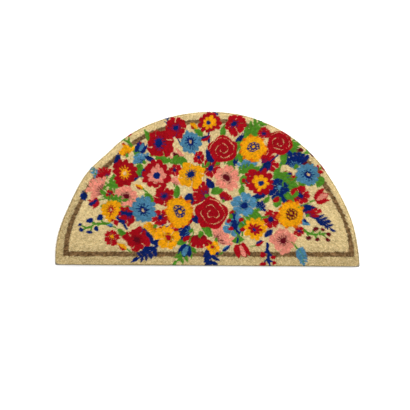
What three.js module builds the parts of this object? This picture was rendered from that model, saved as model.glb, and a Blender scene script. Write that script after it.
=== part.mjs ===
// A half-round coir doormat lying flat: a bed of short upright coir bristles on a thin vinyl backing.
// Millimetres, +Z up. X runs along the straight edge, which faces -Y. The curved edge faces +Y.
// The origin is the middle of the mat's box, at floor level.

import * as THREE from 'three';

// The mat as it is cut
const matWidth = 750;
const matDepth = 380;
const backingThickness = 3;
const pileHeight = 11.7;
const layerGap = 0.3;

// The bristles end a little inside the backing's edge, and their corners are worn rounder
const pileInset = 2;
const backingCornerRadius = 3;
const pileCornerRadius = 9;

// The trimmed rim of the bristles: it leans out a little from the root, then rounds over to the top
const rimLean = 0.8;
const rimRadius = 2.4;
const rimSteps = 3;

// Steps along the curved edge and round each corner
const edgeSteps = 104;
const cornerSteps = 6;

// How far the hand-cut curved edge lies outside (+) or inside (-) a true half-ellipse.
// The angle is measured at the middle of the straight edge, from its right-hand end.
const edgeUnevenness = [
  { angle: 0, offset: 0 },
  { angle: 6, offset: -2.4 },
  { angle: 16, offset: -2.9 },
  { angle: 28, offset: -5.4 },
  { angle: 35, offset: -5.0 },
  { angle: 42, offset: -2.6 },
  { angle: 54, offset: 0 },
  { angle: 66, offset: 1.5 },
  { angle: 77, offset: 1.6 },
  { angle: 90, offset: -0.1 },
  { angle: 106, offset: -1.7 },
  { angle: 122, offset: -2.5 },
  { angle: 133, offset: -6.1 },
  { angle: 142, offset: -1.8 },
  { angle: 156, offset: -4.2 },
  { angle: 170, offset: 0.8 },
  { angle: 180, offset: 0 },
];

// A smooth curve through the rows of the table
const unevennessCurve = new THREE.CubicInterpolant(
  edgeUnevenness.map((row) => row.angle),
  edgeUnevenness.map((row) => row.offset),
  1,
);

// A point of the curved edge, moved in by `inset` along its radius
function curvedEdgePoint(angle, inset) {
  const turn = THREE.MathUtils.degToRad(angle);
  const across = (matWidth / 2) * Math.sin(turn);
  const along = matDepth * Math.cos(turn);
  const ellipseRadius = (matWidth / 2) * matDepth / Math.hypot(along, across);
  const radius = ellipseRadius + unevennessCurve.evaluate(angle)[0] - inset;
  return new THREE.Vector2(radius * Math.cos(turn), radius * Math.sin(turn));
}

// A quarter circle from a side of the mat to its straight edge; side is 1 at the right and -1 at the left
function cornerPoints(edgePoint, radius, side) {
  const centre = new THREE.Vector2(edgePoint.x - side * radius, edgePoint.y);
  const points = [];
  for (let step = 1; step <= cornerSteps; step++) {
    const turn = (step / cornerSteps) * (Math.PI / 2);
    points.push(new THREE.Vector2(
      centre.x + side * radius * Math.cos(turn),
      centre.y - radius * Math.sin(turn),
    ));
  }
  return points;
}

// The closed outline, anticlockwise from the right-hand end of the curved edge
function matOutline(inset, cornerRadius) {
  const startAngle = THREE.MathUtils.radToDeg(Math.asin((inset + cornerRadius) / (matWidth / 2 - inset)));
  const curved = [];
  for (let step = 0; step <= edgeSteps; step++) {
    const angle = THREE.MathUtils.lerp(startAngle, 180 - startAngle, step / edgeSteps);
    curved.push(curvedEdgePoint(angle, inset));
  }
  const leftCorner = cornerPoints(curved[edgeSteps], cornerRadius, -1);
  const rightCorner = cornerPoints(curved[0], cornerRadius, 1).reverse();
  return [...curved, ...leftCorner, ...rightCorner];
}

// A closed body through a stack of outlines with the same number of points, from the lowest to the highest
function stackedBody(layers) {
  const count = layers[0].outline.length;
  const positions = layers.flatMap((layer) => layer.outline.flatMap((p) => [p.x, p.y, layer.height]));
  const triangles = [];
  for (let level = 0; level < layers.length - 1; level++) {
    for (let i = 0; i < count; i++) {
      const a = level * count + i;
      const b = level * count + (i + 1) % count;
      triangles.push(a, b, b + count, a, b + count, a + count);
    }
  }
  const topStart = (layers.length - 1) * count;
  for (const [a, b, c] of THREE.ShapeUtils.triangulateShape(layers[0].outline, [])) {
    triangles.push(a, c, b);
  }
  for (const [a, b, c] of THREE.ShapeUtils.triangulateShape(layers.at(-1).outline, [])) {
    triangles.push(topStart + a, topStart + b, topStart + c);
  }
  const geometry = new THREE.BufferGeometry();
  geometry.setAttribute('position', new THREE.Float32BufferAttribute(positions, 3));
  geometry.setIndex(triangles);
  geometry.computeVertexNormals();
  return geometry;
}

// The vinyl sheet that holds the bristles' roots: flat, square-edged, with nearly sharp corners
function pvcBacking() {
  const outline = matOutline(0, backingCornerRadius);
  const geometry = stackedBody([
    { outline, height: 0 },
    { outline, height: backingThickness },
  ]);
  const material = new THREE.MeshStandardMaterial({ color: 0x57544e, roughness: 0.62, metalness: 0 });
  const mesh = new THREE.Mesh(geometry, material);
  mesh.name = 'pvc_backing';
  return mesh;
}

// The bed of bristles: rooted just above the backing, leaning out a little at the rim and rounded at the top
function coirPile() {
  const layers = [{ outline: matOutline(pileInset, pileCornerRadius), height: 0 }];
  for (let step = 0; step <= rimSteps; step++) {
    const turn = (step / rimSteps) * (Math.PI / 2);
    const inset = pileInset - rimLean + rimRadius * (1 - Math.cos(turn));
    const height = pileHeight - rimRadius * (1 - Math.sin(turn));
    layers.push({ outline: matOutline(inset, pileCornerRadius), height });
  }
  const material = new THREE.MeshStandardMaterial({ color: 0xc9ac78, roughness: 0.95, metalness: 0 });
  const mesh = new THREE.Mesh(stackedBody(layers), material);
  mesh.name = 'coir_pile';
  mesh.position.z = backingThickness + layerGap;
  return mesh;
}

// Both layers, moved so that the middle of the backing's box is the origin
const doormat = new THREE.Group();
doormat.name = 'half_round_doormat';
doormat.add(pvcBacking(), coirPile());

const cutBox = new THREE.Box2().setFromPoints(matOutline(0, backingCornerRadius));
const middle = cutBox.getCenter(new THREE.Vector2());
doormat.position.set(-middle.x, -middle.y, 0);

export default doormat;
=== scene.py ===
# A half-round coir doormat with a flower print, lying on a pale floor and seen from above.
# Metres, +Z up. The straight edge faces -Y and the curved edge +Y. The print is laid out in millimetres.

import math

import bpy
import numpy as np
from mathutils import Matrix, Vector


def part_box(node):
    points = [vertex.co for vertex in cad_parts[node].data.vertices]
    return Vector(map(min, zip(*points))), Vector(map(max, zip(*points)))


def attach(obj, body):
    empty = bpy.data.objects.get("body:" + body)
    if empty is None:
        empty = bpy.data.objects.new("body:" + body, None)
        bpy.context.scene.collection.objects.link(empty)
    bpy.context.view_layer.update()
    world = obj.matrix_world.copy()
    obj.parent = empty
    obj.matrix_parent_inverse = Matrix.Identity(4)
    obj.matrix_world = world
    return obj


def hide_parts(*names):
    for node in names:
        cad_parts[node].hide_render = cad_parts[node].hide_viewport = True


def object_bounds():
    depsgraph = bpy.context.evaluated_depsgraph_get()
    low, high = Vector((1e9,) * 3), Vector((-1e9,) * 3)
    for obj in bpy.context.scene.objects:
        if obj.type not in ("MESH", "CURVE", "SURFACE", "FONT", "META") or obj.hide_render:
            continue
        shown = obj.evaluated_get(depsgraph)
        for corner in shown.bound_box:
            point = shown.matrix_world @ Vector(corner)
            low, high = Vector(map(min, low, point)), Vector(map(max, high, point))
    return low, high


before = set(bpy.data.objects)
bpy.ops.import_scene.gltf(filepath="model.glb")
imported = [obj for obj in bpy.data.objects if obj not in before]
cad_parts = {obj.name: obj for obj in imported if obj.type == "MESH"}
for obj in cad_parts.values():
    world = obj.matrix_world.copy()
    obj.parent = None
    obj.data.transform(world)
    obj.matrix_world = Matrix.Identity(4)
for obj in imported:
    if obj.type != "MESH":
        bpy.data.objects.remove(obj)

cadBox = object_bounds()
mm = 0.001
print("frame loaded")

outlineReading = {
    "level": 0.01 * mm,               # points this near the lowest one belong to the underside
    "decimals": 7,                    # of a metre, to which equal points agree
}


# Outline of a layer, read from the lowest ring of its solid.
# Each point is a radius and an angle, seen from the middle of the straight edge.
def readOutline(node):
    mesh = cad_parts[node].data
    points = np.empty(len(mesh.vertices) * 3)
    mesh.vertices.foreach_get("co", points)
    points = points.reshape(-1, 3)
    ring = points[points[:, 2] < points[:, 2].min() + outlineReading["level"], :2]
    ring = np.unique(np.round(ring, outlineReading["decimals"]), axis=0)
    front = ring[:, 1].min()
    middle = (ring[:, 0].min() + ring[:, 0].max()) / 2
    angle = np.arctan2(ring[:, 1] - front, ring[:, 0] - middle)
    radius = np.hypot(ring[:, 1] - front, ring[:, 0] - middle)
    order = np.argsort(angle)
    low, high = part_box(node)
    return {"front": front, "middle": middle, "angle": angle[order], "radius": radius[order],
            "bottom": low.z, "top": high.z}


# Radius of an outline at an angle, by straight lines between its points
def radiusAt(outline, angle):
    return np.interp(angle, outline["angle"], outline["radius"])


# Distance from the edge: the smaller of radius(angle) - r and y - front, positive inside
def edgeDistance(outline, x, y):
    dx = x - outline["middle"]
    dy = y - outline["front"]
    return np.minimum(radiusAt(outline, np.arctan2(dy, dx)) - np.hypot(dx, dy), dy)


# The closed outline walked at even steps: points and inward normals, anticlockwise from the right corner.
# A normal is the way from the point before to the point after, turned a quarter to the left.
def walkOutline(outline, count, start=0.0):
    x = outline["middle"] + outline["radius"] * np.cos(outline["angle"])
    y = outline["front"] + outline["radius"] * np.sin(outline["angle"])
    x = np.append(x, x[0])
    y = np.append(y, y[0])
    along = np.append(0, np.cumsum(np.hypot(np.diff(x), np.diff(y))))
    at = (start + np.arange(count)) / count * along[-1]
    points = np.stack([np.interp(at, along, x), np.interp(at, along, y)], 1)
    ahead = np.roll(points, -1, 0) - np.roll(points, 1, 0)
    ahead /= np.linalg.norm(ahead, axis=1)[:, None]
    return points, np.stack([-ahead[:, 1], ahead[:, 0]], 1)


pileOutline = readOutline("coir_pile")
backingOutline = readOutline("pvc_backing")
latticeSide = 512                     # cells of noise each way before it repeats


# Smooth noise in the plane: random numbers at the corners of square cells, mixed across and then up by
# 3 f^2 - 2 f^3, where f is the way through the cell
def planeNoise(x, y, cell, seed):
    lattice = np.random.default_rng(seed).random((latticeSide, latticeSide))
    column, fx = np.divmod(x / cell, 1)
    row, fy = np.divmod(y / cell, 1)
    left = column.astype(int) % latticeSide
    right = (left + 1) % latticeSide
    low = row.astype(int) % latticeSide
    high = (low + 1) % latticeSide
    fx = fx * fx * (3 - 2 * fx)
    fy = fy * fy * (3 - 2 * fy)
    lower = lattice[left, low] * (1 - fx) + lattice[right, low] * fx
    upper = lattice[left, high] * (1 - fx) + lattice[right, high] * fx
    return lower * (1 - fy) + upper * fy


# Screen colour of 0 to 255 a channel to linear light: share / 12.92 where it is dark, and otherwise
# ((share + 0.055) / 1.055)^2.4
def linear(colour):
    share = np.asarray(colour, float) / 255
    return np.where(share <= 0.04045, share / 12.92, ((share + 0.055) / 1.055) ** 2.4)


# The dyed print
dyes = {
    "ground": (229, 211, 163),
    "border": (138, 108, 72),
    "red": (182, 10, 30),
    "maroon": (112, 12, 32),
    "yellow": (240, 180, 16),
    "orange": (232, 128, 16),
    "sky": (90, 150, 182),
    "navy": (3, 39, 117),
    "green": (92, 156, 46),
    "pink": (231, 156, 136),
    "cream": (226, 198, 146),
}

borderLine = {                        # millimetres
    "baseWidth": 12.0,
    "grain": 2.8,
    "darkest": 0.3,                   # lowest tone of the line
    "toneRange": 1.45,
    "baseMargin": {                   # from the straight edge to the line, by place across
        "at": (-375, 0, 375),
        "value": (20.0, 21.0, 23.0),
    },
    "curveWidth": {                   # width along the curved edge, by angle from the right corner
        "at": (0, 8, 12, 24, 32, 148, 156, 164, 170, 180),
        "value": (12.8, 12.4, 10.2, 9.8, 10.8, 10.0, 10.4, 11.8, 13.0, 13.6),
    },
    "curveMargin": {                  # from the curved edge to the line, by angle from the right corner
        "at": (0, 4, 8, 12, 16, 20, 26, 34, 70, 90, 120, 138, 150, 156, 161, 166, 172, 180),
        "value": (13.0, 11.5, 8.4, 8.6, 10.4, 10.8, 12.6, 13.6, 14.0, 16.0, 16.5, 16.6, 17.2, 16.0, 14.9,
                  16.0, 18.0, 18.0),
    },
}

groundCover = {                       # share of the bristles laid with the ground colour; the rest keep the darker natural colour, so the coir is darker towards the straight edge and at the left and right ends of the rim
    "field": {                        # inside the line, by height above the straight edge in millimetres
        "at": (32, 50, 80),
        "value": (0.45, 0.92, 1.0),
    },
    "rim": {                          # outside the line, by angle from the right corner
        "at": (0, 6, 9, 14, 140, 152, 160, 180),
        "value": (0, 0, 0.2, 1.0, 1.0, 0.6, 0, 0),
    },
    "front": 24.0,                    # bristles this near the straight edge have none
}

shake = {                             # millimetres, how far the print's places are moved
    "seeds": (11, 13),                # across, up
    "tuftCell": 3.6,
    "ruledReach": 3.2,                # by the tufts, of the border line and the field
    "brushedReach": 1.9,              # by the tufts, of the motifs
    "strokeCell": 13.0,
    "strokeReach": 4.8,
    "sweepCell": 31.0,
    "sweepReach": 9.0,
}


# A value read from a table of places and values, by straight lines between them
def between(table, place):
    return np.interp(place, table["at"], table["value"])


# A canvas holds points in print millimetres, the colour laid on each so far, and whether it is dyed.
# Its places are shaken by reach * (noise - 0.5): ruled ones by the tufts, so that edges follow them, and
# brushed ones by strokes and sweeps of the brush too.
def newCanvas(x, y):
    across = (x - pileOutline["middle"]) / mm
    up = (y - pileOutline["front"]) / mm
    ruled = []
    brushed = []
    for seed, place in zip(shake["seeds"], (across, up)):
        byTuft = planeNoise(across, up, shake["tuftCell"], seed + 1) - 0.5
        byStroke = planeNoise(across, up, shake["strokeCell"], seed) - 0.5
        bySweep = planeNoise(across, up, shake["sweepCell"], seed + 4) - 0.5
        ruled.append(place + shake["ruledReach"] * byTuft)
        brushed.append(place + shake["brushedReach"] * byTuft + shake["strokeReach"] * byStroke
                       + shake["sweepReach"] * bySweep)
    return {
        "x": brushed[0],
        "y": brushed[1],
        "ruledX": ruled[0],
        "ruledY": ruled[1],
        "colour": np.zeros((len(x), 3)),
        "dyed": np.zeros(len(x)),
    }


# The way at an angle in degrees: its cosine and sine
def wayAt(turn):
    return np.array([math.cos(math.radians(turn)), math.sin(math.radians(turn))])


# The points within reach of a motif, in its own frame, where 1 is its size:
# u = (dx cos turn + dy sin turn) / size, v = (dy cos turn - dx sin turn) / size
def near(canvas, x, y, size, turn, reach=1.2):
    dx = canvas["x"] - x
    dy = canvas["y"] - y
    at = np.nonzero((np.abs(dx) < size * reach) & (np.abs(dy) < size * reach))[0]
    c, s = wayAt(turn)
    return at, (dx[at] * c + dy[at] * s) / size, (dy[at] * c - dx[at] * s) / size


# Lays a dye on the masked points, over what was there: the dye's linear colour times its tone
def lay(canvas, at, mask, dye, tone=1.0):
    hit = at[mask]
    strength = np.broadcast_to(tone, mask.shape)[mask]
    canvas["colour"][hit] = linear(dyes[dye]) * strength[:, None]
    canvas["dyed"][hit] = 1


# Angle folded into one of n equal sectors, from -pi/n to pi/n
def foldAngle(angle, n):
    step = 2 * np.pi / n
    return (angle + step / 2) % step - step / 2


# Numbers from 0 to 1, one a petal, seeded by 31 |x| + 17 |y|, so that they belong to a place in the print
def petalLuck(x, y, n):
    return np.random.default_rng(int(31 * abs(x) + 17 * abs(y))).random(n)


# Ring of n petals: half width = width * sqrt(4 t (1 - t))^point * (0.62 + 0.38 t), with t from the heart to
# the petal's end. Each petal's end is drawn in by up to a fifth, by its own luck.
def petalRing(u, v, luck, end, width, start=0.1, point=1.0, phase=0.0):
    n = len(luck)
    r = np.hypot(u, v)
    angle = np.arctan2(v, u) + phase
    f = foldAngle(angle, n)
    ends = end * (1 - 0.2 * luck)[np.round(angle * n / (2 * np.pi)).astype(int) % n]
    along = r * np.cos(f)
    t = np.clip((along - start) / (ends - start), 0, 1)
    half = width * np.sqrt(4 * t * (1 - t)) ** point * (0.62 + 0.38 * t)
    return (np.abs(r * np.sin(f)) < half) & (along > start) & (along < ends)


# Sizes of the motifs, as shares of a motif's own size. Stems, twigs, berries and buds of lavender are in
# millimetres, and first, step and last count the points along a stem.
form = {
    "daisy": {"petals": 12, "petal": {"end": 1.0, "width": 0.24, "start": 0.12},
              "stroke": {"end": 0.55, "width": 0.045, "start": 0.2}, "heart": 0.27, "spot": 0.12},
    "aster": {"outerPetals": 11, "outer": {"end": 1.02, "width": 0.235, "point": 0.8},
              "innerPetals": 8, "inner": {"end": 0.6, "width": 0.16, "point": 0.8, "phase": 0.3},
              "heart": 0.17},
    "sunflower": {"petals": 11, "back": {"end": 1.05, "width": 0.24, "point": 1.5, "phase": math.pi / 11},
                  "front": {"end": 0.95, "width": 0.29, "point": 1.2}, "heart": 0.4,
                  "seeds": 9, "seedRing": 0.29, "seed": 0.055, "spot": 0.12},
    "blossom": {"petals": 5, "ring": 0.55, "lobe": 0.44, "notch": 0.16, "notchWidth": 0.12, "gap": 0.018,
                "core": 0.3, "shade": 0.42, "heart": 0.24, "dotRing": 0.36, "dot": 0.05},
    "poppy": {"end": 0.88, "wave": 0.07, "frill": 0.05, "lap": 0.022, "lapFrom": 0.5,
              "strokes": 13, "strokeWidth": 0.026, "strokeEnd": 0.4, "heart": 0.22},
    "rose": {"end": 0.93, "wave": 0.06, "turns": 2.7, "line": 0.12, "lineFrom": 0.1, "lineTo": 0.86},
    "tulip": {"width": 0.62, "bottom": -0.85, "rim": 0.1, "points": 0.55, "front": 0.23, "frontLength": 0.62,
              "stemFrom": 0.8, "stemBend": 0.15, "stemEnd": 1.7, "stem": 4.2},
    "fanFlower": {"petals": 7, "foot": 0.75, "halfSpread": 1.1, "end": 1.3, "uneven": 0.45, "rounding": 2.2,
                  "partedFrom": 1.1, "petalShare": 0.45, "stroke": 0.03, "strokeEnd": 0.5, "cup": 0.22,
                  "cupFrom": 0.62},
    "bud": {"width": 0.5, "stemFrom": 0.7, "stemEnd": 1.2, "stemBend": 3.0, "stem": 4.0},
    "brushLeaf": {"width": 0.5, "marks": 16, "marksAcross": 14, "broken": 0.45},
    "stroke": {"points": 24, "taper": 0.45},
    "sprig": {"bend": 0.25, "stem": 6.0, "pairs": 4, "first": 6, "step": 4, "leaf": 0.19, "shrink": 0.02,
              "spread": 48, "away": 1.0, "slim": 0.42, "endLeaf": 0.16, "endAway": 0.1},
    "berries": {"bend": -0.2, "stem": 7.5, "berries": 5, "first": 5, "last": 23, "berry": 7.0,
                "shrink": 0.4, "spread": 50, "twigLength": 0.2, "twig": 5.5, "away": 4, "endBerry": 6.0,
                "endAway": 3},
    "lavender": {"bend": 0.12, "stem": 5.0, "pairs": 5, "first": 8, "step": 3, "bud": 9.0, "shrink": 0.8,
                 "spread": 38, "away": 1.15, "slim": 0.5, "endBud": 6.5, "endAway": 4},
}


# Every motif takes a canvas, a place, a size, a turn in degrees and two dyes, of which some use the first
# alone. A tone such as 0.84 + 0.22 r makes a dye lighter from the heart outwards.

# Daisy: a ring of long round petals with a stroke down each, a round heart and a cream spot in the heart
def daisy(canvas, x, y, size, turn, petal, heart):
    own = form["daisy"]
    at, u, v = near(canvas, x, y, size, turn)
    r = np.hypot(u, v)
    luck = petalLuck(x, y, own["petals"])
    lay(canvas, at, petalRing(u, v, luck, **own["petal"]), petal, 1.06 - 0.16 * r)
    lay(canvas, at, petalRing(u, v, luck, **own["stroke"]), heart)
    lay(canvas, at, r < own["heart"], heart)
    lay(canvas, at, r < own["spot"], "cream")


# Aster: a ring of narrow outer petals, a ring of short inner ones in a second dye, and a navy heart
def aster(canvas, x, y, size, turn, petal, inner):
    own = form["aster"]
    at, u, v = near(canvas, x, y, size, turn)
    lay(canvas, at, petalRing(u, v, petalLuck(x, y, own["outerPetals"]), **own["outer"]), petal)
    lay(canvas, at, petalRing(u, v, petalLuck(y, x, own["innerPetals"]), **own["inner"]), inner)
    lay(canvas, at, np.hypot(u, v) < own["heart"], "navy")


# Sunflower: two rings of pointed petals, the back one between the front ones, and a wide heart with a ring
# of seeds
def sunflower(canvas, x, y, size, turn, petal, heart):
    own = form["sunflower"]
    at, u, v = near(canvas, x, y, size, turn)
    r = np.hypot(u, v)
    f = foldAngle(np.arctan2(v, u), own["seeds"])
    luck = petalLuck(x, y, own["petals"])
    back = "orange" if petal == "yellow" else petal
    lay(canvas, at, petalRing(u, v, luck, **own["back"]), back, 0.94)
    lay(canvas, at, petalRing(u, v, luck, **own["front"]), petal)
    lay(canvas, at, r < own["heart"], heart)
    lay(canvas, at, np.hypot(r * np.cos(f) - own["seedRing"], r * np.sin(f)) < own["seed"], petal)
    lay(canvas, at, r < own["spot"], petal)


# Blossom: broad petals, each a disc set out on a ring and notched at its end, with bare gaps between them,
# and a heart ringed by dots
def blossom(canvas, x, y, size, turn, petal, heart):
    own = form["blossom"]
    at, u, v = near(canvas, x, y, size, turn)
    r = np.hypot(u, v)
    f = foldAngle(np.arctan2(v, u), own["petals"])
    along = r * np.cos(f)
    across = np.abs(r * np.sin(f))
    notch = own["notch"] * np.clip(1 - across / own["notchWidth"], 0, 1) * (along > own["ring"])
    lobe = np.hypot(along - own["ring"], across) < own["lobe"] - notch
    parted = across < math.tan(math.pi / own["petals"]) * along - own["gap"]
    lay(canvas, at, (lobe & parted) | (r < own["core"]), petal, 1.05 - 0.25 * (r < own["shade"]))
    lay(canvas, at, r < own["heart"], heart)
    lay(canvas, at, np.hypot(along - own["dotRing"], across) < own["dot"], heart)


# Poppy: a wide cup, r < end + wave cos 4a + frill cos 11a, with four laps left bare along a + r/2, and
# strokes round a dark heart
def poppy(canvas, x, y, size, turn, petal, heart):
    own = form["poppy"]
    at, u, v = near(canvas, x, y, size, turn)
    r = np.hypot(u, v)
    a = np.arctan2(v, u)
    f = foldAngle(a, own["strokes"])
    cup = r < own["end"] + own["wave"] * np.cos(4 * a) + own["frill"] * np.cos(11 * a)
    lap = (np.abs(foldAngle(a + 0.5 * r, 4)) * r < own["lap"]) & (r > own["lapFrom"])
    lay(canvas, at, cup & ~lap, petal, 0.84 + 0.22 * r)
    lay(canvas, at, (np.abs(r * np.sin(f)) < own["strokeWidth"]) & (r < own["strokeEnd"]), heart)
    lay(canvas, at, r < own["heart"], heart)


# Rose: a round bloom, r < end + wave cos 5a, with a thin line that winds out from its middle and fades in
# and out as 0.55 + 0.45 cos(3a + 5r)
def rose(canvas, x, y, size, turn, petal, line):
    own = form["rose"]
    at, u, v = near(canvas, x, y, size, turn)
    r = np.hypot(u, v)
    a = np.arctan2(v, u)
    wind = (r * own["turns"] - a / (2 * np.pi)) % 1.0
    thin = own["line"] * (0.55 + 0.45 * np.cos(3 * a + 5 * r))
    lay(canvas, at, r < own["end"] + own["wave"] * np.cos(5 * a), petal, 0.86 + 0.2 * r)
    lay(canvas, at, (wind < thin) & (r > own["lineFrom"]) & (r < own["lineTo"]), line)


# Tulip from the side: a cup of half width 0.06 + width * sqrt(1 - u^2), with three points along its rim,
# rim + points * |cos 4.6 v|, an oval petal of another dye in front, and a bent stem
def tulip(canvas, x, y, size, turn, petal, inner):
    own = form["tulip"]
    way = wayAt(turn)
    side = np.array([-way[1], way[0]])
    foot = np.array([x, y]) - way * size * own["stemFrom"]
    bend = foot - way * size * own["stemFrom"] + side * size * own["stemBend"]
    stroke(canvas, foot, bend, foot - way * size * own["stemEnd"], own["stem"], "green")
    at, u, v = near(canvas, x, y, size, turn)
    wide = own["width"] * np.sqrt(np.clip(1 - u ** 2, 0, 1)) + 0.06
    rim = own["rim"] + own["points"] * np.abs(np.cos(v * 4.6))
    front = own["front"] * np.sqrt(np.clip(1 - ((u + 0.1) / own["frontLength"]) ** 2, 0, 1))
    lay(canvas, at, (u > own["bottom"]) & (u < rim) & (np.abs(v) < wide), petal,
        1.05 - 0.18 * (np.abs(v) < 0.2))
    lay(canvas, at, np.abs(v) < front, inner)


# Fan flower from the side: petals spread from a foot, each ending at end + uneven * luck - rounding * f^2
# with f from its middle line, a stroke down the middle of each, and a green cup
def fanFlower(canvas, x, y, size, turn, petal, inner):
    own = form["fanFlower"]
    at, u, v = near(canvas, x, y, size, turn, 1.3)
    luck = petalLuck(x, y, own["petals"])
    r = np.hypot(u + own["foot"], v)
    a = np.arctan2(v, u + own["foot"]) + own["halfSpread"]
    petalStep = 2 * own["halfSpread"] / own["petals"]
    which = np.clip((a / petalStep).astype(int), 0, own["petals"] - 1)
    f = a - (which + 0.5) * petalStep
    fan = np.abs(a - own["halfSpread"]) < own["halfSpread"]
    ends = own["end"] + own["uneven"] * luck[which] - own["rounding"] * f ** 2
    whole = (np.abs(f) < own["petalShare"] * petalStep) | (r < own["partedFrom"])
    lay(canvas, at, fan & (r < ends) & whole, petal, 0.82 + 0.2 * r)
    strokes = (np.abs(f) * r < own["stroke"]) & (r < own["strokeEnd"] + 0.4 * luck[which])
    lay(canvas, at, fan & strokes, inner)
    lay(canvas, at, np.hypot((u + own["cupFrom"]) * 0.8, v) < own["cup"], "green")


# Bud: a drop, half width = width * sin(pi t^1.4), in two dyes split along v = 0.06 + 0.2 u^2, on a short
# bent stem
def bud(canvas, x, y, size, turn, petal, inner):
    own = form["bud"]
    way = wayAt(turn)
    foot = np.array([x, y]) - way * size * own["stemFrom"]
    end = foot - way * size * own["stemEnd"] + way[::-1] * own["stemBend"]
    stroke(canvas, foot, foot - way * size * 0.5, end, own["stem"], "green")
    at, u, v = near(canvas, x, y, size, turn)
    t = np.clip((1 - u) / 2, 0, 1)
    drop = (np.abs(v) < own["width"] * np.sin(np.pi * t ** 1.4)) & (np.abs(u) < 1)
    lay(canvas, at, drop, petal)
    lay(canvas, at, drop & (v > 0.06 + 0.2 * u ** 2), inner)


# Brush leaf: half width = width * sin(pi t^0.8), its end broken into marks that stop at 1 - broken * luck
def brushLeaf(canvas, x, y, size, turn, dye, second=None):
    own = form["brushLeaf"]
    at, u, v = near(canvas, x, y, size, turn)
    luck = petalLuck(x, y, own["marks"])
    t = np.clip((u + 1) / 2, 0, 1)
    mark = luck[np.clip((v * own["marksAcross"] + own["marks"] / 2).astype(int), 0, own["marks"] - 1)]
    body = (np.abs(v) < own["width"] * np.sin(np.pi * t ** 0.8)) & (u > -1) & (u < 1 - own["broken"] * mark)
    lay(canvas, at, body, dye, 1.08 - 0.3 * mark)


# Leaf: half width = slim * sin(pi t^0.8), with its lower half in shade
def leaf(canvas, x, y, size, turn, dye, second=None, slim=0.48):
    at, u, v = near(canvas, x, y, size, turn, 1.1)
    t = np.clip((u + 1) / 2, 0, 1)
    body = (np.abs(v) < slim * np.sin(np.pi * t ** 0.8)) & (np.abs(u) < 1)
    lay(canvas, at, body, dye, 1.06 - 0.2 * (v < 0))


# Dot: an oval a little longer than wide, u^2 + (1.15 v)^2 < 0.98^2
def dot(canvas, x, y, size, turn, dye, second=None):
    at, u, v = near(canvas, x, y, size, turn)
    lay(canvas, at, np.hypot(u, 1.15 * v) < 0.98, dye)


# Brush stroke: points nearer than half the width to the curve (1 - t)^2 first + 2 t (1 - t) middle
# + t^2 last, taken in short straight steps. The stroke thins by its taper towards the last point.
def stroke(canvas, first, middle, last, width, dye):
    t = np.linspace(0, 1, form["stroke"]["points"])[:, None]
    line = (1 - t) ** 2 * first + 2 * t * (1 - t) * middle + t ** 2 * last
    low = line.min(0) - width
    high = line.max(0) + width
    inside = ((canvas["x"] > low[0]) & (canvas["x"] < high[0])
              & (canvas["y"] > low[1]) & (canvas["y"] < high[1]))
    at = np.nonzero(inside)[0]
    dx = canvas["x"][at][:, None] - line[:-1, 0]
    dy = canvas["y"][at][:, None] - line[:-1, 1]
    step = np.diff(line, axis=0)
    share = np.clip((dx * step[:, 0] + dy * step[:, 1]) / (step ** 2).sum(1), 0, 1)
    away = np.hypot(dx - share * step[:, 0], dy - share * step[:, 1])
    away /= 1 - form["stroke"]["taper"] * t[:-1, 0]
    lay(canvas, at, away.min(1) < width / 2, dye)
    return line


# A bent stem from a foot: a brush stroke of the given length whose middle is moved sideways by its bend.
# Gives its line of points, and its heading in degrees at each of them.
def stem(canvas, x, y, length, turn, bend, width, dye):
    way = wayAt(turn)
    side = np.array([-way[1], way[0]])
    foot = np.array([x, y], float)
    line = stroke(canvas, foot, foot + (0.5 * way + bend * side) * length, foot + way * length, width, dye)
    step = np.gradient(line, axis=0)
    return line, np.degrees(np.arctan2(step[:, 1], step[:, 0]))


# The place at a reach from a point, the given way: point + reach * (cos turn, sin turn)
def beside(point, turn, reach):
    return point + reach * wayAt(turn)


# Pairs of leaves along a stem, each with its middle set out by its size times away
def leafPairs(canvas, line, heading, own, sizes, dye):
    for pair, size in enumerate(sizes):
        i = own["first"] + own["step"] * pair
        for side in (-own["spread"], own["spread"]):
            spot = beside(line[i], heading[i] + side, size * own["away"])
            leaf(canvas, *spot, size, heading[i] + side, dye, slim=own["slim"])


# Fern sprig: pairs of leaves along a bent stem, smaller towards its end, and one at the end
def sprig(canvas, x, y, length, turn, dye, second=None):
    own = form["sprig"]
    line, heading = stem(canvas, x, y, length, turn, own["bend"], own["stem"], dye)
    sizes = [length * (own["leaf"] - own["shrink"] * pair) for pair in range(own["pairs"])]
    leafPairs(canvas, line, heading, own, sizes, dye)
    end = beside(line[-1], turn, length * own["endAway"])
    leaf(canvas, *end, length * own["endLeaf"], turn, dye, slim=own["slim"])


# Berry twig: berries on short side twigs, left and right in turn, and one at the end
def berries(canvas, x, y, length, turn, dye, second):
    own = form["berries"]
    line, heading = stem(canvas, x, y, length, turn, own["bend"], own["stem"], dye)
    for berry in range(own["berries"]):
        i = own["first"] + (own["last"] - own["first"]) * berry // own["berries"]
        way = heading[i] + (own["spread"] if berry % 2 else -own["spread"])
        end = beside(line[i], way, own["twigLength"] * length)
        stroke(canvas, line[i], (line[i] + end) / 2, end, own["twig"], dye)
        dot(canvas, *beside(end, way, own["away"]), own["berry"] - own["shrink"] * berry, 0, second)
    dot(canvas, *beside(line[-1], turn, own["endAway"]), own["endBerry"], 0, second)


# Lavender: pairs of small buds up the last two thirds of a stem, and one at the end
def lavender(canvas, x, y, length, turn, dye, second):
    own = form["lavender"]
    line, heading = stem(canvas, x, y, length, turn, own["bend"], own["stem"], dye)
    sizes = [own["bud"] - own["shrink"] * pair for pair in range(own["pairs"])]
    leafPairs(canvas, line, heading, own, sizes, second)
    leaf(canvas, *beside(line[-1], turn, own["endAway"]), own["endBud"], turn, second, slim=own["slim"])


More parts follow.
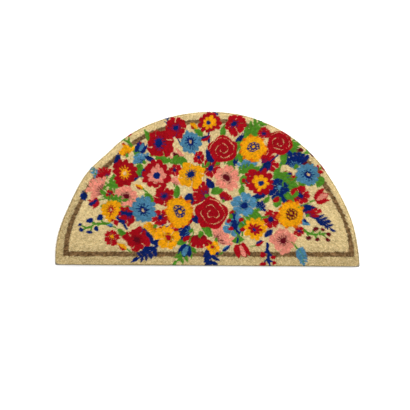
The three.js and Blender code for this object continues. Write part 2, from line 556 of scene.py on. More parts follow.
# The larger motifs: what, place in print millimetres, length or size, turn, two dyes
foliage = (
    (sprig, -150, 150, 110, 160, "green", None),
    (sprig, 150, 175, 100, 15, "green", None),
    (sprig, 0, 60, 75, -88, "navy", None),
    (sprig, -40, 70, 75, -120, "green", None),
    (lavender, -60, 285, 95, 115, "navy", "navy"),
    (lavender, 4, 300, 78, 80, "navy", "navy"),
    (lavender, 230, 190, 95, 40, "green", "red"),
    (lavender, -230, 190, 80, 140, "green", "sky"),
    (sprig, 95, 290, 85, 55, "green", None),
    (berries, -240, 100, 66, 192, "green", "navy"),
    (berries, 232, 90, 66, -12, "green", "maroon"),
    (berries, -170, 260, 90, 130, "green", "red"),
    (sprig, 180, 240, 100, 60, "green", None),
    (sprig, -120, 60, 70, -140, "navy", None),
    (berries, 148, 50, 60, -78, "navy", "red"),
    (lavender, 205, 60, 62, -58, "green", "sky"),
    (sprig, 255, 120, 60, -30, "navy", None),
    (berries, 205, 250, 75, 50, "green", "maroon"),
)
blooms = (
    (rose, 8, 128, 42, 20, "red", "cream"),
    (sunflower, -70, 132, 40, 0, "yellow", "navy"),
    (aster, -128, 222, 40, 10, "red", "pink"),
    (poppy, -40, 222, 36, 30, "yellow", "navy"),
    (sunflower, 205, 128, 40, 12, "yellow", "maroon"),
    (blossom, 88, 150, 34, 80, "sky", "navy"),
    (daisy, -158, 138, 36, 0, "sky", "navy"),
    (rose, 38, 285, 36, 100, "red", "cream"),
    (blossom, 48, 214, 33, 10, "pink", "maroon"),
    (aster, 130, 205, 37, 5, "red", "yellow"),
    (poppy, 185, 64, 34, 0, "pink", "maroon"),
    (blossom, -98, 68, 33, 12, "yellow", "red"),
    (daisy, -205, 225, 37, 20, "red", "yellow"),
    (sunflower, 112, 290, 37, 20, "yellow", "navy"),
    (rose, 176, 300, 33, 60, "red", "cream"),
    (poppy, -118, 298, 37, 40, "red", "navy"),
    (daisy, 245, 225, 34, 0, "sky", "navy"),
    (aster, 118, 90, 31, 15, "yellow", "red"),
    (poppy, -174, 62, 35, 75, "red", "maroon"),
    (daisy, -238, 132, 29, 0, "yellow", "red"),
    (daisy, -42, 302, 32, 15, "sky", "navy"),
    (aster, 4, 350, 28, 0, "red", "yellow"),
    (fanFlower, -22, 60, 29, -100, "red", "maroon"),
    (fanFlower, -272, 185, 28, 150, "pink", "maroon"),
    (tulip, 282, 170, 25, 25, "red", "pink"),
    (tulip, -54, 32, 22, -110, "navy", "sky"),
    (tulip, 86, 34, 23, -70, "red", "pink"),
    (blossom, 66, 346, 27, 40, "red", "navy"),
    (blossom, -232, 66, 21, 0, "red", "yellow"),
)

# Between them a seeded fill: each size in turn is tried at random places and kept where it clears the rest
fill = {                              # millimetres and degrees
    "seed": 14,
    "steps": (                        # kinds, size, tries, share of the two sizes kept between middles
        ((poppy, fanFlower, blossom), 28, 1200, 0.72),
        ((fanFlower, blossom, tulip), 21, 2000, 0.79),
        ((bud, fanFlower, blossom), 15, 1500, 0.82),
        ((brushLeaf, leaf), 18, 2600, 0.64),
        ((leaf, bud, leaf), 11, 2600, 0.88),
        ((dot,), 5.5, 2600, 1.25),
    ),
    "across": (-375, 375),
    "up": (0, 385),
    "sizeShare": (0.85, 1.1),
    "fanFrom": 60.0,                  # height of the point that the motifs spread from
    "turn": 60,                       # how far a motif may turn from the way out of that point
    "petals": ("red", "yellow", "red", "sky", "red", "pink", "red", "navy", "red", "yellow"),
    "partner": {"red": "navy", "yellow": "red", "pink": "maroon", "sky": "navy", "navy": "sky",
                "green": "green"},
    "leaves": ("green", "green", "green", "green", "navy"),
    "crown": (28, 152),               # between these angles motifs may come nearer to the curved edge
    "crownRim": (10, 0.6),            # kept from it there: millimetres, and a share of the size
    "sideRim": (32, 1.0),
    "base": 34.0,                     # height above the straight edge that motifs keep clear of
    "cornerReach": 150.0,             # how far from each corner the field is bare
}
twigFill = {
    "count": 26,
    "length": 56.0,
    "lengthShare": (0.8, 1.25),
    "across": (-330, 330),
    "up": (40, 370),
    "room": 22,                       # size that both ends need room for
    "kinds": ((sprig, "green", None), (berries, "navy", "red"), (sprig, "green", None),
              (lavender, "navy", "navy")),
}


# Where fill may go: radius < curve - rim, above the base line, and off the two corners
def inFillField(x, y, size):
    radius = math.hypot(x, y)
    angle = math.atan2(y, x)
    curve = float(radiusAt(pileOutline, angle)) / mm
    inCrown = fill["crown"][0] < math.degrees(angle) < fill["crown"][1]
    gap, share = fill["crownRim" if inCrown else "sideRim"]
    corner = math.hypot(curve - abs(x), y)
    return (radius < curve - gap - share * size and y > fill["base"] + 0.5 * size
            and corner > fill["cornerReach"] + size)


# The fill: a motif stays where its distance from each other one is over clearance * (both sizes) and the
# nearest has another dye. Sprigs, twigs and spikes go wherever both of their ends are in the field.
def fillMotifs():
    rng = np.random.default_rng(fill["seed"])
    taken = [(x, y, size, first) for paint, x, y, size, turn, first, second in blooms]
    motifs = []
    for kinds, size, tries, clearance in fill["steps"]:
        for attempt in range(tries):
            x = rng.uniform(*fill["across"])
            y = rng.uniform(*fill["up"])
            paint = kinds[rng.integers(len(kinds))]
            own = size * rng.uniform(*fill["sizeShare"])
            turn = math.degrees(math.atan2(y - fill["fanFrom"], x)) + rng.uniform(-fill["turn"], fill["turn"])
            choices = fill["leaves"] if paint in (leaf, brushLeaf) else fill["petals"]
            dye = choices[rng.integers(len(choices))]
            if not inFillField(x, y, own):
                continue
            gaps = [math.hypot(x - tx, y - ty) - clearance * (own + ts) for tx, ty, ts, td in taken]
            closest = int(np.argmin(gaps))
            if gaps[closest] < 0 or taken[closest][3] == dye:
                continue
            taken.append((x, y, own, dye))
            motifs.append((paint, x, y, own, turn, dye, fill["partner"][dye]))
    twigs = []
    while len(twigs) < twigFill["count"]:
        x = rng.uniform(*twigFill["across"])
        y = rng.uniform(*twigFill["up"])
        length = twigFill["length"] * rng.uniform(*twigFill["lengthShare"])
        turn = rng.uniform(0, 360)
        paint, dye, second = twigFill["kinds"][len(twigs) % len(twigFill["kinds"])]
        ends = ((x, y), beside(np.array((x, y)), turn, length))
        if all(inFillField(*end, twigFill["room"]) for end in ends):
            twigs.append((paint, x, y, length, turn, dye, second))
    print("fill motifs:", len(twigs) + len(motifs))
    return tuple(motifs + twigs)


fillings = fillMotifs()


# The whole print over some points: field, border line, foliage, fill, blooms.
# The line lies where the distances from both edges are over their margins by less than its width.
def paintPrint(x, y):
    canvas = newCanvas(x, y)
    across = canvas["ruledX"]
    up = canvas["ruledY"]
    angle = np.arctan2(up, across)
    degrees = np.degrees(angle)
    toCurve = radiusAt(pileOutline, angle) / mm - np.hypot(across, up)
    fromCurve = toCurve - between(borderLine["curveMargin"], degrees)
    fromBase = up - between(borderLine["baseMargin"], across)
    outer = (fromCurve > 0) & (fromBase > 0)
    inner = (fromCurve > between(borderLine["curveWidth"], degrees)) & (fromBase > borderLine["baseWidth"])
    every = np.arange(len(x))
    luck = np.random.default_rng(seed=19).random(len(x))
    rim = between(groundCover["rim"], degrees) * (up > groundCover["front"])
    lay(canvas, every, luck < np.where(outer, between(groundCover["field"], up), rim), "ground")
    grain = planeNoise(across, up, borderLine["grain"], seed=17)
    lay(canvas, every, outer & ~inner, "border", borderLine["darkest"] + borderLine["toneRange"] * grain)
    for paint, px, py, size, turn, first, second in foliage + fillings + blooms:
        paint(canvas, px, py, size, turn, first, second)
    return canvas["colour"], canvas["dyed"]


# A new object at the origin, put into the scene
def newObject(name, data):
    made = bpy.data.objects.new(name, data)
    bpy.context.scene.collection.objects.link(made)
    return made


# A mesh from whole arrays: points, faces of one size, a dye and a strand value for each point, and a map
# that the export can bake on
def meshPiece(name, points, faces, dyed=None, strands=None, flat=None, smooth=False):
    mesh = bpy.data.meshes.new(name)
    mesh.vertices.add(len(points))
    mesh.vertices.foreach_set("co", np.asarray(points, np.float32).ravel())
    mesh.loops.add(faces.size)
    mesh.loops.foreach_set("vertex_index", faces.astype(np.int32).ravel())
    mesh.polygons.add(len(faces))
    mesh.polygons.foreach_set("loop_start", np.arange(0, faces.size, faces.shape[1], dtype=np.int32))
    mesh.polygons.foreach_set("use_smooth", np.full(len(faces), smooth))
    for layer, kind, field, values in (("dye", "FLOAT_COLOR", "color", dyed),
                                       ("strand", "FLOAT_VECTOR", "vector", strands)):
        if values is not None:
            made = mesh.attributes.new(layer, kind, "POINT")
            made.data.foreach_set(field, np.asarray(values, np.float32).ravel())
    if flat is not None:
        layer = mesh.uv_layers.new(name="OFBake")
        layer.uv.foreach_set("vector", np.asarray(flat, np.float32)[faces.ravel()].ravel())
    mesh.update(calc_edges=True)
    return newObject(name, mesh)


# A closed skin through rings of equal length, from the middle of the underside to the middle of the top.
# Point j of ring k is number 1 + k * count + j, and two triangles fill each square between two rings.
def ringSkin(rings, underMiddle, topMiddle):
    count = rings[0].shape[0]
    points = np.concatenate([[underMiddle], *rings, [topMiddle]])
    here = np.arange(count)
    after = (here + 1) % count
    faces = [np.stack([np.zeros(count, int), 1 + after, 1 + here], 1)]
    for level in range(len(rings) - 1):
        a = 1 + level * count + here
        b = 1 + level * count + after
        faces.append(np.stack([a, b, b + count], 1))
        faces.append(np.stack([a, b + count, a + count], 1))
    last = 1 + (len(rings) - 1) * count
    faces.append(np.stack([last + here, last + after, np.full(count, len(points) - 1)], 1))
    return points, np.concatenate(faces)


# A ring: places in the plane, all at one height or each at its own
def ringAt(flat, height):
    return np.column_stack([flat, np.broadcast_to(height, len(flat))])


ringMiddle = 160 * mm                 # from the straight edge to the point that a layer's rings close on


# The point that a layer's rings close on, on its middle line
def middleOf(outline):
    return np.array([outline["middle"], outline["front"] + ringMiddle])


# Height of the bristle tips: flat, rounded down at the rim, lower between the tufts
tips = {
    "top": pileOutline["top"] - 0.1 * mm,
    "rimRadius": 2.4 * mm,
    "tuftCell": 2.6 * mm,
    "narrowCell": 0.45,               # share of the tuft cell
    "tuftGain": 1.3,
    "tuftFloor": 0.15,
    "tuftDepth": 1.1 * mm,
}


# Tufts: gain * (half of wide noise + half of narrow noise) - floor, from 0 between the tufts to 1 on them
def tuftAt(x, y):
    wide = planeNoise(x, y, tips["tuftCell"], seed=21)
    narrow = planeNoise(x, y, tips["narrowCell"] * tips["tuftCell"], seed=22)
    return np.clip(tips["tuftGain"] * (0.5 * wide + 0.5 * narrow) - tips["tuftFloor"], 0, 1)


# Tip height: top - tuftDepth * (1 - tuft)^1.5, less a quarter circle of the rim radius near the edge
def tipHeight(x, y):
    away = np.clip(edgeDistance(pileOutline, x, y) / tips["rimRadius"], 0, 1)
    rim = tips["rimRadius"] * (1 - np.sqrt(1 - (1 - away) ** 2))
    return tips["top"] - rim - tips["tuftDepth"] * (1 - tuftAt(x, y)) ** 1.5


# Pile bed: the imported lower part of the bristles
bed = {
    "ringPoints": 760,
    "ringCount": 84,
    "inset": 1.6 * mm,
    "shoulder": 1.8 * mm,
    "footGap": 0.05 * mm,
    "below": 3.6 * mm,                # how far the bed's top lies under the tips
    "relief": 0.8 * mm,
    "reliefCell": 3.1 * mm,
    "height": 0.55,                   # height value for the material, 0 at the roots and 1 at the tips
    # painted shade: how dark the bed is drawn at the roots
    "rootShade": 0.5,
    "bump": 0.3 * mm,
}


# Rings out of the foot, up the side, round the shoulder and in to the middle by even shares of the way
def makeBed():
    edge, inward = walkOutline(pileOutline, bed["ringPoints"])
    middle = middleOf(pileOutline)
    foot = pileOutline["bottom"] + bed["footGap"]
    top = tips["top"] - bed["below"]
    side = edge + inward * bed["inset"]
    rings = [ringAt(side, height) for height in (foot, 0.5 * (foot + top), top - bed["shoulder"])]
    turn = np.radians((30, 60, 90))   # steps round the shoulder
    for inset, drop in zip(bed["shoulder"] * (1 - np.cos(turn)), bed["shoulder"] * (1 - np.sin(turn))):
        rings.append(ringAt(side + inward * inset, top - drop))
    shoulder = rings[-1][:, :2]
    for share in np.linspace(1, 0, bed["ringCount"] + 1)[1:-1]:
        flat = middle + (shoulder - middle) * share
        relief = planeNoise(flat[:, 0], flat[:, 1], bed["reliefCell"], seed=31)
        rings.append(ringAt(flat, top - bed["relief"] * relief))
    points, faces = ringSkin(rings, np.append(middle, foot), np.append(middle, top))
    colour, dyed = paintPrint(points[:, 0], points[:, 1])
    tone = np.random.default_rng(seed=3).random(len(points))
    tuft = tuftAt(points[:, 0], points[:, 1])
    # the tuft value also paints shade between the tufts in the material
    strands = np.column_stack([tone, np.full(len(points), bed["height"]), tuft])
    return meshPiece("pileBed", points, faces, np.column_stack([colour, dyed]), strands, smooth=True)


# Bristles: each is a blade with a wide root edge and a tip edge turned a quarter from it, four faces in all
bristles = {
    "spacing": 1.12 * mm,
    "rowShare": 0.9,                  # rows stand this share of the spacing apart
    "shaken": 0.45,                   # share of the spacing
    "clear": 0.9 * mm,                # the grid keeps this far from the edge
    "rimRows": ((0.35, 0.0), (0.8, 0.5), (1.3, 0.25)),     # inset in millimetres, first place in steps
    "rimPoints": 2300,
    "rimShaken": 0.2,                 # millimetres
    "rootWidth": 1.25 * mm,
    "tipWidth": 0.85 * mm,
    "thickness": (0.7, 1.25),         # share of the widths, from the thinnest bristle to the thickest
    "rimSlim": 0.3,                   # how much thinner bristles are at the rim
    "uneven": 0.7 * mm,               # how much shorter a bristle may be than its neighbours
    "lean": 0.36,                     # usual sideways reach for each unit of height
    "leanHeight": 6 * mm,             # longer bristles lean no more than this length does
    "rimReach": 3.0 * mm,             # width of the rim
    "rimCalm": 0.6,                   # how much less bristles lean at the rim
    "curveLean": 2.1 * mm,            # how far the tips lean out over the curved edge
    "frontLean": 0.3 * mm,            # over the straight one
    "cornerLean": (-2.6 * mm, 0.2 * mm),      # over the left and the right corner
    "cornerReach": 34 * mm,           # how far from a corner the lean is full
    "footGap": 0.1 * mm,
    "sunk": 1.2 * mm,                 # how far a root goes into the bed
    "bands": 5,
    "depthUnit": 8 * mm,              # depth below the tip where the height value reaches 0
    # painted shade: how dark the bristles are drawn at their roots
    "rootShade": 0.62,
    "bump": 0.2 * mm,
}


# Blades: root -/+ across * rootWidth / 2 and tip -/+ along * tipWidth / 2, with across at the turn and along
# a quarter further, and the four triangles between these corners
def bladeArrays(root, tip, thick, turn):
    across = np.stack([np.cos(turn), np.sin(turn), np.zeros(len(turn))], 1)
    along = np.stack([-np.sin(turn), np.cos(turn), np.zeros(len(turn))], 1)
    halfRoot = across * (bristles["rootWidth"] * thick)[:, None] / 2
    halfTip = along * (bristles["tipWidth"] * thick)[:, None] / 2
    corners = np.stack([root - halfRoot, root + halfRoot, tip - halfTip, tip + halfTip], 1)
    pattern = np.array([(0, 3, 1), (1, 2, 0), (2, 1, 3), (3, 0, 2)])     # seen from outside, anticlockwise
    faces = (np.arange(len(root))[:, None, None] * 4 + pattern).reshape(-1, 3)
    return corners.reshape(-1, 3), faces


# Places of the bristles: a shaken brick grid inside the outline, and three close rows along its rim
def bristlePlaces(rng):
    step = bristles["spacing"]
    shaken = bristles["shaken"]
    low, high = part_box("coir_pile")
    columns = np.arange(low.x, high.x, step)
    rows = np.arange(low.y, high.y, step * bristles["rowShare"])
    x, y = np.meshgrid(columns, rows)
    x = x + step / 2 * (np.arange(len(rows)) % 2)[:, None]
    x = (x + rng.uniform(-shaken, shaken, x.shape) * step).ravel()
    y = (y + rng.uniform(-shaken, shaken, y.shape) * step).ravel()
    inside = edgeDistance(pileOutline, x, y) > bristles["clear"]
    places = [np.column_stack([x[inside], y[inside]])]
    shaken = bristles["rimShaken"]
    for inset, start in bristles["rimRows"]:
        edge, inward = walkOutline(pileOutline, bristles["rimPoints"], start)
        away = inset * mm + rng.uniform(-shaken, shaken, len(edge)) * mm
        places.append(edge + inward * away[:, None])
    return np.concatenate(places)


# Which way is in, from a point near the rim: the slope of edgeDistance over half a millimetre each way
def inwardAt(x, y):
    step = 0.5 * mm
    gx = edgeDistance(pileOutline, x + step, y) - edgeDistance(pileOutline, x - step, y)
    gy = edgeDistance(pileOutline, x, y + step) - edgeDistance(pileOutline, x, y - step)
    size = np.maximum(np.hypot(gx, gy), 1e-9)     # never nothing
    return np.stack([gx / size, gy / size], 1)


# How far the tips at the rim lean out: from the curved edge's lean to the straight edge's as the way in
# turns to +Y, and to a corner's own lean within its reach
def rimLean(x, y, inward):
    front = np.clip(inward[:, 1], 0, 1)
    lean = bristles["curveLean"] * (1 - front) + bristles["frontLean"] * front
    cornerFrom = pileOutline["radius"].max() - bristles["cornerReach"]
    corner = np.clip((np.abs(x - pileOutline["middle"]) - cornerFrom) / bristles["cornerReach"], 0, 1)
    corner *= np.clip(1 - (y - pileOutline["front"]) / bristles["cornerReach"], 0, 1)
    left, right = bristles["cornerLean"]
    return lean + (np.where(x < pileOutline["middle"], left, right) - lean) * corner


# Bristles: tip = root's place + a random way * |normal| * length, less at the rim, where the tips lean out
# too and are held back to that lean. They are cut into bands of equal number from left to right.
def makeBristles():
    rng = np.random.default_rng(seed=8)
    place = bristlePlaces(rng)
    x, y = place.T
    count = len(place)
    away = edgeDistance(pileOutline, x, y)
    rim = np.clip(1 - away / bristles["rimReach"], 0, 1)
    inBed = tips["top"] - bed["below"] - bristles["sunk"]
    foot = pileOutline["bottom"] + bristles["footGap"]
    rootHeight = np.where(away < bed["inset"] + bed["shoulder"], foot, inBed)
    tipTop = tipHeight(x, y) - bristles["uneven"] * rng.random(count) ** 2
    length = tipTop - rootHeight
    way = rng.uniform(0, 2 * np.pi, count)
    reach = np.abs(rng.normal(0, bristles["lean"], count)) * np.minimum(length, bristles["leanHeight"])
    reach *= 1 - bristles["rimCalm"] * rim
    tipPlace = place + np.stack([np.cos(way), np.sin(way)], 1) * reach[:, None]
    inward = inwardAt(x, y)
    lean = rimLean(x, y, inward)
    tipPlace -= inward * (rim * lean)[:, None]
    over = np.clip(-np.abs(lean) - edgeDistance(pileOutline, *tipPlace.T), 0, None)
    tipPlace += inwardAt(*tipPlace.T) * over[:, None]
    root = np.column_stack([place, rootHeight])
    tip = np.column_stack([tipPlace, tipTop])
    thick = rng.uniform(*bristles["thickness"], count) * (1 - bristles["rimSlim"] * rim)
    turn = rng.uniform(0, np.pi, count)
    paint = np.column_stack(paintPrint(*tipPlace.T))
    tone = rng.random(count)
    tuft = tuftAt(*tipPlace.T)
    bandEdges = np.quantile(x, np.linspace(0, 1, bristles["bands"] + 1))
    bandEdges[-1] += mm               # so that the last bristle is in the last band
    pieces = []
    for band in range(bristles["bands"]):
        own = (x >= bandEdges[band]) & (x < bandEdges[band + 1])
        points, faces = bladeArrays(root[own], tip[own], thick[own], turn[own])
        depth = 1 - length[own] / bristles["depthUnit"]
        height = np.stack([depth, depth, np.ones(len(depth)), np.ones(len(depth))], 1).ravel()
        # the tuft value also paints shade between the tufts in the material
        strands = np.column_stack([np.repeat(tone[own], 4), height, np.repeat(tuft[own], 4)])
        flat = (points - points.min(0))[:, :2] / np.ptp(points, axis=0)[:2]
        pieces.append(meshPiece(f"bristles{band + 1}", points, faces, np.repeat(paint[own], 4, 0), strands,
                                flat, smooth=True))
    print("bristles:", count)
    return pieces


# Vinyl backing: a cut sheet with softened edges
backing = {
    "ringPoints": 900,
    "soft": 0.35 * mm,                # how far the edge is softened
    "softMiddle": 0.3,                # inset of the softened edge's middle ring, as a share of that
    "waver": 0.3 * mm,                # unevenness of the cut
    "waverCell": 22 * mm,
    "rings": (0.25, 0.5, 0.75, 0.97),         # shares of the way out from the middle
}


# Rings out over the underside, up the softened and wavering edge, and in over the top
def makeBacking():
    edge, inward = walkOutline(backingOutline, backing["ringPoints"])
    waver = backing["waver"] * planeNoise(edge[:, 0], edge[:, 1], backing["waverCell"], seed=41)
    edge = edge + inward * waver[:, None]
    middle = middleOf(backingOutline)
    soft = backing["soft"]
    part = backing["softMiddle"] * soft
    bottom = backingOutline["bottom"]
    top = backingOutline["top"]
    under = [(middle + (edge - middle) * share, bottom) for share in backing["rings"]]
    cut = [(edge + inward * inset, height) for inset, height in (
        (soft, bottom), (part, bottom + part), (0, bottom + soft), (0, top - soft), (part, top - part),
        (soft, top))]
    over = [(middle + (edge - middle) * share, top) for share in backing["rings"][::-1]]
    rings = [ringAt(flat, height) for flat, height in under + cut + over]
    points, faces = ringSkin(rings, np.append(middle, bottom), np.append(middle, top))
    return meshPiece("vinylBacking", points, faces)


# A new node group: input sockets with their usual values, output sockets, and the nodes at its two ends
def newGroup(name, inputs, outputs):
    group = bpy.data.node_groups.new(name, "ShaderNodeTree")
    for socket, kind, value in inputs:
        group.interface.new_socket(name=socket, in_out="INPUT", socket_type=kind).default_value = value
    for socket, kind in outputs:
        group.interface.new_socket(name=socket, in_out="OUTPUT", socket_type=kind)
    return group, group.nodes.new("NodeGroupInput"), group.nodes.new("NodeGroupOutput")


# Gives a socket its value, or a link where the value is another node's output
def feed(tree, socket, value):
    if isinstance(value, bpy.types.NodeSocket):
        tree.links.new(value, socket)
    else:
        socket.default_value = value


# A node of one kind, with a value or a link for each named input, and its settings
def addNode(tree, kind, values=None, **settings):
    node = tree.nodes.new(kind)
    for key, value in settings.items():
        setattr(node, key, value)
    for key, value in (values or {}).items():
        feed(tree, node.inputs[key], value)
    return node


# Two colours blended: first * (1 - factor) + blend of both * factor. Inputs 6 and 7 are the colours.
def mixColour(tree, blend, factor, first, second):
    values = {0: factor, 6: first, 7: second}
    return addNode(tree, "ShaderNodeMix", values, data_type="RGBA", blend_type=blend).outputs[2]


# One step of arithmetic on sockets or numbers
def calculate(tree, operation, first, second):
    return addNode(tree, "ShaderNodeMath", {0: first, 1: second}, operation=operation).outputs[0]


# A value carried in a straight line from its From range to its To range, and held there
def remap(tree, value, limits):
    return addNode(tree, "ShaderNodeMapRange", {"Value": value, **limits}).outputs[0]


# Noise at a place, by its scale and detail
def noise(tree, place, values):
    return addNode(tree, "ShaderNodeTexNoise", {"Vector": place, **values}).outputs[0]


# Screen colour to linear light with full alpha
def rgba(colour):
    return (*linear(colour), 1.0)


# A colour read from a value, by straight lines between the stops. The first and last stop take the ramp's
# own two, and the others are new.
def colourRamp(tree, value, stops):
    node = addNode(tree, "ShaderNodeValToRGB", {"Fac": value})
    ramp = node.color_ramp.elements
    ramp[0].position, ramp[0].color = stops[0]
    ramp[1].position, ramp[1].color = stops[-1]
    for position, colour in stops[1:-1]:
        ramp.new(position).color = colour
    return node.outputs["Color"]


coir = {
    "natural": (                      # undyed colour by a bristle's own tone, a few of them dark
        (0.0, rgba((112, 84, 50))),
        (0.06, rgba((138, 112, 70))),
        (0.16, rgba((200, 180, 132))),
        (0.6, rgba((218, 199, 151))),
        (1.0, rgba((230, 214, 169))),
    ),
    "tint": (                         # small change of hue from warm to cool
        (0.35, (1.02, 0.99, 0.96, 1)),
        (0.65, (0.99, 1.01, 1.01, 1)),
    ),
    "patches": {"Scale": 16.0, "Detail": 3.0},
    "grain": {"Scale": 330.0, "Detail": 2.0},
    "fibre": {"Scale": 900.0, "Detail": 2.0},
    "hue": {"Scale": 240.0, "Detail": 1.0},
    "dyeSpread": {"To Min": 0.86, "To Max": 1.12},           # dye's strength by the bristle's tone
    "soak": {"From Min": 0.15, "From Max": 0.55, "To Min": 0.05, "To Max": 1.0},   # dye by height
    "uptake": {"From Min": 0.02, "From Max": 0.08, "To Min": 0.75},     # the darkest fibres take less dye
    "patchLight": 0.1,                # painted light is the sum of these shares, and falls off in green and blue: painted shade in the dips between the tufts, random tone by patches and grain
    "grainLight": 0.2,
    "tuftLight": 0.66,
    "baseLight": 0.52,
    "greenPower": 1.2,
    "bluePower": 1.6,
    "rootDepth": 0.7,                 # height value where the roots' painted shade ends
    "roughness": {"To Min": 0.78, "To Max": 0.98},
    "gloss": 0.08,
    "bumpStrength": 0.5,
}


# Coir tone and painted light: colour = mix(natural, dye * spread, dyed * soak * uptake) * tint * light, where
# light = (patches + grain + tufts + base) * root shade, to the powers 1, 1.2 and 1.6 for red, green and blue.
# The tufts' share and the root shade are painted shade, darker and browner in the dips between the tufts and
# deeper in the pile; patches and grain are random tone.
def coirShadeAndToneGroup():
    tree, given, result = newGroup("coirToneAndShade", (
        ("Place", "NodeSocketVector", (0, 0, 0)),
        ("Dye", "NodeSocketColor", (1, 1, 1, 1)),
        ("Dyed", "NodeSocketFloat", 0.0),
        ("Tone", "NodeSocketFloat", 0.5),
        ("Height", "NodeSocketFloat", 1.0),
        ("Tuft", "NodeSocketFloat", 0.5),
        ("Root Shade", "NodeSocketFloat", 0.5),
    ), (("Colour", "NodeSocketColor"), ("Roughness", "NodeSocketFloat"), ("Fibre", "NodeSocketFloat")))
    place = given.outputs["Place"]
    tone = given.outputs["Tone"]
    height = given.outputs["Height"]
    grain = noise(tree, place, coir["grain"])
    natural = colourRamp(tree, tone, coir["natural"])
    soaked = mixColour(tree, "MULTIPLY", 1.0, given.outputs["Dye"], remap(tree, tone, coir["dyeSpread"]))
    amount = calculate(tree, "MULTIPLY", given.outputs["Dyed"], remap(tree, height, coir["soak"]))
    amount = calculate(tree, "MULTIPLY", amount, remap(tree, tone, coir["uptake"]))
    coloured = mixColour(tree, "MIX", amount, natural, soaked)
    light = calculate(tree, "MULTIPLY", noise(tree, place, coir["patches"]), coir["patchLight"])
    # the tufts' share paints shade in the dips between the tufts
    for value, share in ((grain, coir["grainLight"]), (given.outputs["Tuft"], coir["tuftLight"])):
        light = calculate(tree, "ADD", light, calculate(tree, "MULTIPLY", value, share))
    light = calculate(tree, "ADD", light, coir["baseLight"])
    # painted shade: darker towards the roots, deeper in the pile
    shade = remap(tree, height, {"From Min": 0.0, "From Max": coir["rootDepth"],
                                 "To Min": given.outputs["Root Shade"], "To Max": 1.0})
    light = calculate(tree, "MULTIPLY", light, shade)
    lightColour = addNode(tree, "ShaderNodeCombineColor", {
        "Red": light,
        "Green": calculate(tree, "POWER", light, coir["greenPower"]),
        "Blue": calculate(tree, "POWER", light, coir["bluePower"]),
    })
    tint = colourRamp(tree, noise(tree, place, coir["hue"]), coir["tint"])
    tinted = mixColour(tree, "MULTIPLY", 1.0, coloured, tint)
    feed(tree, result.inputs["Colour"], mixColour(tree, "MULTIPLY", 1.0, tinted, lightColour.outputs[0]))
    feed(tree, result.inputs["Roughness"], remap(tree, grain, coir["roughness"]))
    feed(tree, result.inputs["Fibre"], noise(tree, place, coir["fibre"]))
    return tree


# A material with its tree and its shader, whose gloss is set
def newMaterial(name, gloss):
    material = bpy.data.materials.new(name)
    material.use_nodes = True
    shader = material.node_tree.nodes["Principled BSDF"]
    shader.inputs["Specular IOR Level"].default_value = gloss
    return material, material.node_tree, shader


# Feeds a shader its colour, its roughness, and a bump of a strength and a depth from a height
def dress(tree, shader, colour, roughness, height, strength, depth):
    bump = addNode(tree, "ShaderNodeBump", {"Strength": strength, "Distance": depth, "Height": height})
    for socket, value in (("Base Color", colour), ("Roughness", roughness), ("Normal", bump.outputs[0])):
        feed(tree, shader.inputs[socket], value)


# Coir: the shared group of tone and painted shade, fed by the piece's own attributes, with its own painted
# root shade and bump
def coirMaterial(name, toneAndShadeGroup, piece):
    material, tree, shader = newMaterial(name, coir["gloss"])
    dye = addNode(tree, "ShaderNodeAttribute", attribute_name="dye")
    strand = addNode(tree, "ShaderNodeAttribute", attribute_name="strand")
    split = addNode(tree, "ShaderNodeSeparateXYZ", {"Vector": strand.outputs["Vector"]})
    tone = addNode(tree, "ShaderNodeGroup", {
        "Place": addNode(tree, "ShaderNodeTexCoord").outputs["Object"],
        "Dye": dye.outputs["Color"],
        "Dyed": dye.outputs["Alpha"],
        "Tone": split.outputs[0],
        "Height": split.outputs[1],
        "Tuft": split.outputs[2],
        "Root Shade": piece["rootShade"],
    }, node_tree=toneAndShadeGroup)
    dress(tree, shader, tone.outputs["Colour"], tone.outputs["Roughness"], tone.outputs["Fibre"],
          coir["bumpStrength"], piece["bump"])
    return material


vinyl = {
    "tones": ((0.3, rgba((118, 113, 98))), (0.7, rgba((140, 134, 117)))),
    "flow": {"Scale": 22.0, "Detail": 4.0, "Roughness": 0.6},
    "dustColour": (150, 132, 100),
    "dust": {"Scale": 300.0, "Detail": 3.0},
    "dustShare": {"From Min": 0.62, "From Max": 0.72, "To Min": 0.0, "To Max": 0.5},
    "pebbles": 420.0,
    "roughness": {"To Min": 0.5, "To Max": 0.72},
    "gloss": 0.35,
    "bumpStrength": 0.35,
    "bump": 0.15 * mm,
}


# Vinyl: grey with faint flow marks, fine pebbling and dust caught in it, colour = mix(tone, dust, dust share)
def vinylMaterial():
    material, tree, shader = newMaterial("vinyl", vinyl["gloss"])
    place = addNode(tree, "ShaderNodeTexCoord").outputs["Object"]
    flow = noise(tree, place, vinyl["flow"])
    dust = remap(tree, noise(tree, place, vinyl["dust"]), vinyl["dustShare"])
    pebbles = addNode(tree, "ShaderNodeTexVoronoi", {"Vector": place, "Scale": vinyl["pebbles"]})
    colour = mixColour(tree, "MIX", dust, colourRamp(tree, flow, vinyl["tones"]), rgba(vinyl["dustColour"]))
    dress(tree, shader, colour, remap(tree, flow, vinyl["roughness"]), pebbles.outputs["Distance"],
          vinyl["bumpStrength"], vinyl["bump"])
    return material


# The pieces, their finishes and what they stand for
toneAndShadeGroup = coirShadeAndToneGroup()
pileBed = makeBed()
pileBed.data.materials.append(coirMaterial("coirBed", toneAndShadeGroup, bed))
print("pile bed made")
bristlePieces = makeBristles()
bristleMaterial = coirMaterial("coirBristle", toneAndShadeGroup, bristles)
for piece in bristlePieces:
    piece.data.materials.append(bristleMaterial)
vinylBacking = makeBacking()
vinylBacking.data.materials.append(vinylMaterial())
print("backing made")

for piece in (pileBed, *bristlePieces):
    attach(piece, "root")
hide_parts("coir_pile")
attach(vinylBacking, "root")
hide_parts("pvc_backing")


# Camera: nearly straight above, with the photograph's framing
view = {
    "pictureSide": 410,               # pixels
    "matWidthPixels": 305.0,
    "matMiddlePixel": (207.8, 188.7),
    "elevation": 89.0,
    "roll": 0.37,                     # degrees, right end of the mat lower
    "lens": 85.0,
    "sensor": 36.0,
    "farthest": 20.0,
}


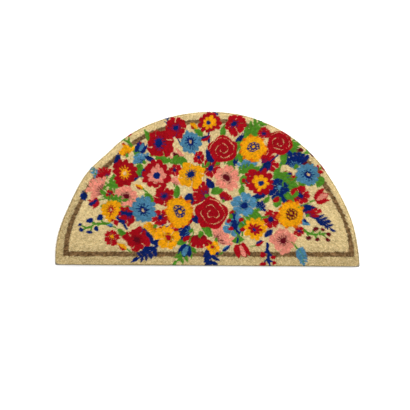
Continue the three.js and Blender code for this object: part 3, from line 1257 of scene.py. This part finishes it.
# Distance = picture side in metres * lens / sensor. The camera looks at the mat's middle, moved by the
# pixels between that and the picture's middle.
def makeCamera():
    low, high = cadBox
    perPixel = (high.x - low.x) / view["matWidthPixels"]
    distance = view["pictureSide"] * perPixel * view["lens"] / view["sensor"]
    tilt = math.radians(view["elevation"])
    half = view["pictureSide"] / 2
    aim = Vector((
        (high.x + low.x) / 2 + (half - view["matMiddlePixel"][0]) * perPixel,
        (high.y + low.y) / 2 - (half - view["matMiddlePixel"][1]) * perPixel / math.sin(tilt),
        (high.z + low.z) / 2,
    ))
    data = bpy.data.cameras.new("camera")
    data.lens = view["lens"]
    data.sensor_width = view["sensor"]
    data.clip_end = view["farthest"]
    camera = newObject("camera", data)
    back = Vector((0, -math.cos(tilt), math.sin(tilt)))
    turn = back.to_track_quat("Z", "Y").to_matrix().to_4x4()
    roll = Matrix.Rotation(math.radians(view["roll"]), 4, "Z")
    camera.matrix_world = Matrix.Translation(aim + back * distance) @ turn @ roll
    bpy.context.scene.camera = camera


ground = {
    "half": 6.0,                      # half its width
    "shade": 0.9,
    "roughness": 0.9,
    "gloss": 0.1,
}


# Floor: a plain pale square, large enough to fill every view
def makeFloor():
    half = ground["half"]
    shade = ground["shade"]
    corners = [(-half, -half, 0), (half, -half, 0), (half, half, 0), (-half, half, 0)]
    mesh = bpy.data.meshes.new("floor")
    mesh.from_pydata(corners, [], [(0, 1, 2, 3)])
    material, tree, shader = newMaterial("paleFloor", ground["gloss"])
    shader.inputs["Base Color"].default_value = (shade, shade, shade, 1)
    shader.inputs["Roughness"].default_value = ground["roughness"]
    mesh.materials.append(material)
    newObject("floor", mesh)


# Light: one wide soft lamp overhead, a little to the upper right, and an even pale surround
lamps = {
    "overhead": {"size": 2.6, "power": 99.0, "place": (0.45, 1.1, 2.5)},
    "surround": 0.86,
}


# The lamp shines along the line from its place to the origin, and the surround is an even white
def makeLight():
    lamp = lamps["overhead"]
    data = bpy.data.lights.new("overhead", "AREA")
    data.size = lamp["size"]
    data.energy = lamp["power"]
    light = newObject("overhead", data)
    light.location = lamp["place"]
    light.rotation_euler = Vector(lamp["place"]).to_track_quat("Z", "Y").to_euler()
    world = bpy.data.worlds.new("surround")
    world.use_nodes = True
    shade = world.node_tree.nodes["Background"]
    shade.inputs["Color"].default_value = (1, 1, 1, 1)
    shade.inputs["Strength"].default_value = lamps["surround"]
    bpy.context.scene.world = world


makeCamera()
makeFloor()
makeLight()
bpy.context.scene.view_settings.view_transform = "Standard"
print("camera, floor and light made")
